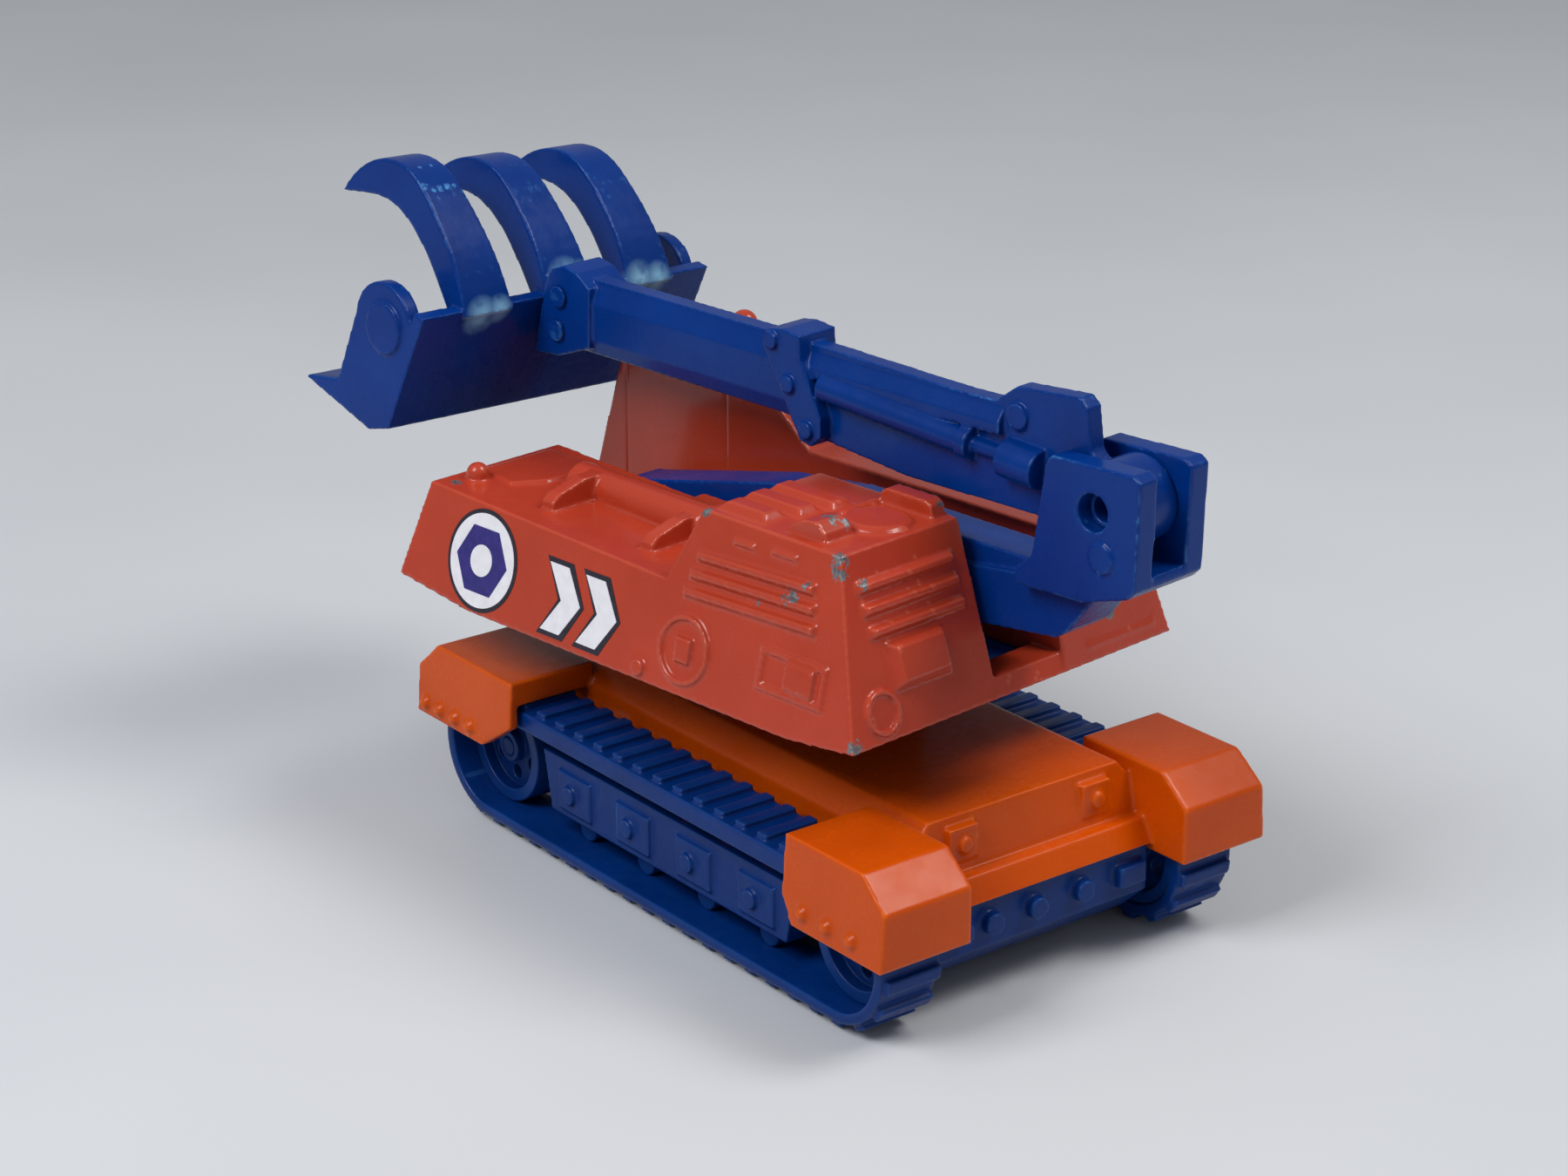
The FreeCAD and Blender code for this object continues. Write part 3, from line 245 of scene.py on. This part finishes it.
def red_paint():
    """Thick glossy red-orange paint on cast metal, chipped to grey metal on its corners."""
    material, tree, shader = start_material("red_paint")
    place = place_socket(tree)
    shade = mottle(tree, place, 7.0, 3.0)
    paint = blend_colour(tree, shade, *RED_PAINT)
    ragged = ramp(tree, grain(tree, place, 0.45, 4.0, 0.7), *NOISE_SPAN)
    edges = edge_mask(tree)
    thin = maths(tree, "MULTIPLY", edges, 0.4)
    paint = blend_colour(tree, thin, paint, RUBBED_PAINT)
    chips = spots(tree, place, PAINT_CHIPS, ragged)
    rare = maths(tree, "GREATER_THAN", grain(tree, place, 1.6, 5.0, 0.75), 0.7)
    nicks = maths(tree, "MULTIPLY", rare, maths(tree, "GREATER_THAN", edges, 0.85))
    bare = maths(tree, "MAXIMUM", chips, nicks)
    metal_shade = mottle(tree, place, 0.25, 3.0)
    metal = blend_colour(tree, metal_shade, *CHIPPED_METAL)
    connect(tree, shader.inputs["Base Color"], blend_colour(tree, bare, paint, metal))
    connect(tree, shader.inputs["Metallic"], maths(tree, "MULTIPLY", bare, 0.6))
    gloss = mottle(tree, place, 1.6, 4.0, 0.2, 0.3)
    worn_gloss = maths(tree, "MULTIPLY", bare, 0.2)
    connect(tree, shader.inputs["Roughness"], maths(tree, "ADD", gloss, worn_gloss))
    shader.inputs["Specular IOR Level"].default_value = 0.35
    shader.inputs["Coat Weight"].default_value = 0.15
    shader.inputs["Coat Roughness"].default_value = 0.1
    peel = maths(tree, "MULTIPLY", grain(tree, place, 0.9, 2.0), 0.5)
    height = maths(tree, "SUBTRACT", peel, bare)
    bump(tree, shader, height, 0.35, 0.05)
    return material


# Where bending has whitened the roots of the tines, and round which points the edges are rubbed
# pale, with radii in millimetres
STRESS_SPOTS = (
    (body_point(-27.1, -6.6, 34.7), 1.7), (body_point(-27.0, -5.0, 34.9), 1.3),
    (body_point(-27.2, 1.4, 35.8), 1.9), (body_point(-27.2, 2.9, 35.7), 1.5),
    (body_point(-27.2, 8.2, 34.5), 1.6), (body_point(-27.2, 9.9, 34.3), 1.4),
)
WORN_EDGES = (
    (body_point(28.4, -2.2, 31.5), 5.0), (body_point(21.2, -2.2, 35.0), 2.6),
    (body_point(23.0, -1.0, 25.0), 3.5), (body_point(28.6, 3.6, 30.0), 3.5),
    (body_point(14.0, 0.3, 37.0), 5.0), (body_point(-25.5, 0.3, 33.0), 4.0),
    (body_point(-35.0, -12.0, 28.0), 4.0), (body_point(-31.0, -6.6, 43.0), 5.0),
)


def blue_plastic():
    """Moulded royal blue plastic, whitened where it was bent and along its worn edges."""
    material, tree, shader = start_material("blue_plastic")
    place = place_socket(tree)
    shade = mottle(tree, place, 6.0, 3.0)
    blue = blend_colour(tree, shade, *ARM_BLUE)
    edges = edge_mask(tree)
    uneven = ramp(tree, grain(tree, place, 0.7, 4.0, 0.7), 0.45, 0.62)
    region = soft_spots(tree, place, WORN_EDGES)
    wear = maths(tree, "ADD", maths(tree, "MULTIPLY", region, 0.7), 0.14)
    worn = maths(tree, "MULTIPLY", maths(tree, "MULTIPLY", edges, uneven), wear, clamp=True)
    blue = blend_colour(tree, worn, blue, RUBBED_BLUE)
    streaks = ramp(tree, grain(tree, place, 1.0, 3.0), 0.1, 0.5)
    white = maths(tree, "MULTIPLY", soft_spots(tree, place, STRESS_SPOTS), streaks)
    pale = maths(tree, "MULTIPLY", white, 0.85)
    blue = blend_colour(tree, pale, blue, BENT_BLUE)
    connect(tree, shader.inputs["Base Color"], blue)
    gloss = mottle(tree, place, 1.2, 4.0, 0.22, 0.33)
    connect(tree, shader.inputs["Roughness"], gloss)
    shader.inputs["Specular IOR Level"].default_value = 0.18
    bump(tree, shader, grain(tree, place, 0.6, 3.0), 0.25, 0.04)
    return material


def track_plastic():
    """The same blue plastic, duller and with scattered patches of dust."""
    material, tree, shader = start_material("track_plastic")
    place = place_socket(tree)
    shade = mottle(tree, place, 4.0, 3.0)
    blue = blend_colour(tree, shade, *TRACK_BLUE)
    dust = ramp(tree, grain(tree, place, 0.9, 5.0, 0.7), 0.5, 0.8, 0.0, 0.16)
    blue = blend_colour(tree, dust, blue, TRACK_DUST)
    worn = maths(tree, "MULTIPLY", edge_mask(tree), 0.22)
    blue = blend_colour(tree, worn, blue, RUBBED_TRACK)
    connect(tree, shader.inputs["Base Color"], blue)
    gloss = mottle(tree, place, 0.8, 4.0, 0.3, 0.42)
    connect(tree, shader.inputs["Roughness"], gloss)
    shader.inputs["Specular IOR Level"].default_value = 0.2
    bump(tree, shader, grain(tree, place, 0.4, 3.0), 0.3, 0.04)
    return material


def orange_plastic():
    """Glossy orange plastic that lets a little light in."""
    material, tree, shader = start_material("orange_plastic")
    place = place_socket(tree)
    shade = mottle(tree, place, 8.0, 2.0)
    orange = blend_colour(tree, shade, *ORANGE)
    pale = maths(tree, "MULTIPLY", edge_mask(tree), 0.35)
    orange = blend_colour(tree, pale, orange, RUBBED_ORANGE)
    connect(tree, shader.inputs["Base Color"], orange)
    gloss = mottle(tree, place, 1.5, 4.0, 0.2, 0.33)
    connect(tree, shader.inputs["Roughness"], gloss)
    shader.inputs["Specular IOR Level"].default_value = 0.22
    shader.inputs["Subsurface Weight"].default_value = 0.25
    shader.inputs["Subsurface Radius"].default_value = (1.0, 0.35, 0.1)
    shader.inputs["Subsurface Scale"].default_value = 0.7 * MM
    bump(tree, shader, grain(tree, place, 1.0, 3.0), 0.2, 0.05)
    return material


def steel():
    """Bright turned steel, slightly uneven."""
    material, tree, shader = start_material("steel")
    place = place_socket(tree)
    shade = mottle(tree, place, 0.6, 4.0)
    connect(tree, shader.inputs["Base Color"], blend_colour(tree, shade, *STEEL))
    shader.inputs["Metallic"].default_value = 1.0
    connect(tree, shader.inputs["Roughness"], mottle(tree, place, 0.3, 4.0, 0.22, 0.4))
    bump(tree, shader, grain(tree, place, 0.2, 3.0), 0.2, 0.02)
    return material


def dark_glazing():
    """Black gloss paint on the cab's windows."""
    material, tree, shader = start_material("dark_glazing")
    place = place_socket(tree)
    shade = mottle(tree, place, 2.0, 4.0)
    connect(tree, shader.inputs["Base Color"], blend_colour(tree, shade, *GLAZING))
    connect(tree, shader.inputs["Roughness"], mottle(tree, place, 0.7, 4.0, 0.08, 0.2))
    bump(tree, shader, grain(tree, place, 0.8, 2.0), 0.15, 0.03)
    return material


def ink(name, dark, light):
    """Thin printed ink, slightly uneven in colour and gloss."""
    material, tree, shader = start_material(name)
    place = place_socket(tree)
    shade = mottle(tree, place, 0.7, 4.0)
    connect(tree, shader.inputs["Base Color"], blend_colour(tree, shade, dark, light))
    connect(tree, shader.inputs["Roughness"], mottle(tree, place, 0.4, 4.0, 0.25, 0.4))
    bump(tree, shader, grain(tree, place, 0.3, 3.0), 0.2, 0.01)
    return material


# ---------------------------------------------------------------- pieces

def soft_edges(piece, voxel_mm, relaxings):
    """Rebuilds the skin on a fine grid and relaxes it, which rounds every edge as moulding does."""
    grid = piece.modifiers.new("grid", "REMESH")
    grid.mode = "VOXEL"
    grid.voxel_size = voxel_mm * MM
    grid.use_smooth_shade = True
    relax = piece.modifiers.new("relax", "SMOOTH")
    relax.factor = 0.5
    relax.iterations = relaxings


def crisp_edges(piece, width_mm):
    """Takes the sharpness off the edges of a small turned or stamped part."""
    bevel = piece.modifiers.new("rounding", "BEVEL")
    bevel.width = width_mm * MM
    bevel.segments = 2
    bevel.limit_method = "ANGLE"
    bevel.angle_limit = SHARP
    bevel.use_clamp_overlap = True
    normals = piece.modifiers.new("normals", "WEIGHTED_NORMAL")
    normals.keep_sharp = True
    normals.weight = 80


def clean_mesh(source):
    """A welded copy of a CAD node's mesh with its flat faces joined up."""
    mesh = bmesh.new()
    mesh.from_mesh(source.data)
    bmesh.ops.remove_doubles(mesh, verts=mesh.verts, dist=WELD)
    bmesh.ops.dissolve_limit(mesh, angle_limit=FLAT, verts=mesh.verts, edges=mesh.edges)
    loose = [vertex for vertex in mesh.verts if not vertex.link_faces]
    bmesh.ops.delete(mesh, geom=loose, context="VERTS")
    result = bpy.data.meshes.new(source.name + "_skin")
    mesh.to_mesh(result)
    mesh.free()
    if "custom_normal" in result.attributes:
        result.attributes.remove(result.attributes["custom_normal"])
    result.shade_smooth()
    result.set_sharp_from_angle(angle=SMOOTH_LIMIT)
    return result


def skin(node, body, material):
    """The soft-edged piece that stands for a CAD node."""
    mesh = clean_mesh(frame["nodes"][node])
    mesh.materials.clear()
    mesh.materials.append(material)
    piece = bpy.data.objects.new(node + "_skin", mesh)
    bpy.context.scene.collection.objects.link(piece)
    if node in ROUNDING:
        soft_edges(piece, *ROUNDING[node])
    else:
        crisp_edges(piece, SMALL_EDGE)
    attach(piece, body)
    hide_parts(node)


def printed_mark(name, outline, material, level):
    """A thin printed layer with an outline of (along, up) wall points; level 1 lies on the wall."""
    bottom = (level - 1) * PRINT_THICKNESS
    top = level * PRINT_THICKNESS
    mesh = bmesh.new()
    low = [mesh.verts.new(wall_point(x, up, bottom)) for x, up in outline]
    high = [mesh.verts.new(wall_point(x, up, top)) for x, up in outline]
    mesh.faces.new(high)
    mesh.faces.new(list(reversed(low)))
    for index in range(len(outline)):
        after = (index + 1) % len(outline)
        mesh.faces.new([low[index], low[after], high[after], high[index]])
    bmesh.ops.recalc_face_normals(mesh, faces=mesh.faces)
    data = bpy.data.meshes.new(name)
    mesh.to_mesh(data)
    mesh.free()
    data.materials.append(material)
    piece = bpy.data.objects.new(name, data)
    bpy.context.scene.collection.objects.link(piece)
    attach(piece, "upper")


def circle(centre, radius, count=48):
    """Evenly spaced points round a centre; with six of them, a hexagon."""
    return [(centre[0] + radius * cos(2 * pi * k / count),
             centre[1] + radius * sin(2 * pi * k / count)) for k in range(count)]


def chevron(x, grow=0.0):
    """An arrow-shaped band that points along the body, larger all round by grow."""
    low, high = CHEVRON_HEIGHTS
    middle = (low + high) / 2
    left = x - grow
    right = x + CHEVRON_WIDTH + grow
    return [(left, low - grow), (right, low - grow), (right + CHEVRON_POINT, middle),
            (right, high + grow), (left, high + grow), (left + CHEVRON_POINT, middle)]


def badge_marks():
    """A plain round badge with a hexagon, and two chevrons beside it."""
    printed_mark("badge_rim", circle(BADGE, BADGE_R), INK_DARK, 1)
    printed_mark("badge_disc", circle(BADGE, BADGE_R - BADGE_RIM), INK_WHITE, 2)
    printed_mark("badge_hexagon", circle(BADGE, HEXAGON_R, 6), INK_BLUE, 3)
    printed_mark("badge_centre", circle(BADGE, BADGE_CENTRE_R, 32), INK_WHITE, 4)
    for number, x in enumerate(CHEVRON_STARTS, start=1):
        printed_mark("chevron_outline_" + str(number), chevron(x, CHEVRON_RIM), INK_DARK, 1)
        printed_mark("chevron_" + str(number), chevron(x), INK_WHITE, 2)


# ---------------------------------------------------------------- stage, light and camera

def floor_material():
    material, tree, shader = start_material("pale_floor")
    place = place_socket(tree)
    cloud = mottle(tree, place, 60.0, 2.0)
    connect(tree, shader.inputs["Base Color"], blend_colour(tree, cloud, *FLOOR))
    shader.inputs["Roughness"].default_value = 0.55
    shader.inputs["Specular IOR Level"].default_value = 0.25
    return material


def stage_floor():
    """A wide plain floor under the toy."""
    half = 1.5
    data = bpy.data.meshes.new("floor")
    corners = [(-half, -half, 0), (half, -half, 0), (half, half, 0), (-half, half, 0)]
    data.from_pydata(corners, [], [(0, 1, 2, 3)])
    data.materials.append(floor_material())
    floor = bpy.data.objects.new("floor", data)
    bpy.context.scene.collection.objects.link(floor)


def area_light(name, place, size, energy, colour):
    light = bpy.data.lights.new(name, "AREA")
    light.energy = energy
    light.size = size
    light.color = colour
    lamp = bpy.data.objects.new(name, light)
    bpy.context.scene.collection.objects.link(lamp)
    lamp.location = place
    aim = Vector((0.0, 0.0, 0.02)) - lamp.location
    lamp.rotation_euler = aim.to_track_quat("-Z", "Y").to_euler()


def sky(world):
    """A pale studio room, a little brighter overhead than at eye level."""
    tree = world.node_tree
    background = tree.nodes["Background"]
    direction = add(tree, "ShaderNodeTexCoord").outputs["Generated"]
    height = add(tree, "ShaderNodeSeparateXYZ", {0: direction}).outputs["Z"]
    level = ramp(tree, height, 0.0, 0.5)
    connect(tree, background.inputs[0], blend_colour(tree, level, *ROOM))
    background.inputs[1].default_value = 0.68


def lights():
    """A soft key light from the right side, a weaker one from behind, and the room."""
    world = bpy.data.worlds.new("studio")
    world.use_nodes = True
    sky(world)
    bpy.context.scene.world = world
    area_light("key", place=(0.0, -0.28, 0.32), size=0.2, energy=1.2, colour=COOL_LAMP)
    area_light("back", place=(0.17, 0.16, 0.34), size=0.16, energy=0.8, colour=WARM_LAMP)


def camera():
    """Long lens, level from side to side."""
    data = bpy.data.cameras.new("camera")
    data.lens = LENS
    data.sensor_width = SENSOR
    eye = bpy.data.objects.new("camera", data)
    bpy.context.scene.collection.objects.link(eye)
    eye.location = SWIVEL + Vector(EYE) * MM
    eye.rotation_euler = (pi / 2 - VIEW_ELEVATION, 0.0, pi / 2 + VIEW_AZIMUTH)
    bpy.context.scene.camera = eye


FINISHES = {"red_paint": red_paint(), "blue_plastic": blue_plastic(), "orange_plastic": orange_plastic(),
            "steel": steel(), "dark_glazing": dark_glazing()}
TRACK_FINISH = track_plastic()
INK_WHITE = ink("ink_white", *WHITE_PRINT)
INK_DARK = ink("ink_dark", *DARK_PRINT)
INK_BLUE = ink("ink_blue", *BLUE_PRINT)


def finish_for(node, body):
    """The finish of a node: the blue parts of the undercarriage are duller than the arm."""
    if body == "chassis" and SLOTS[node] == "blue_plastic":
        return TRACK_FINISH
    return FINISHES[SLOTS[node]]


for body_name, members in BODIES.items():
    for member in members:
        skin(member, body_name, finish_for(member, body_name))
badge_marks()
stage_floor()
lights()
camera()
bpy.context.scene.view_settings.view_transform = "Standard"
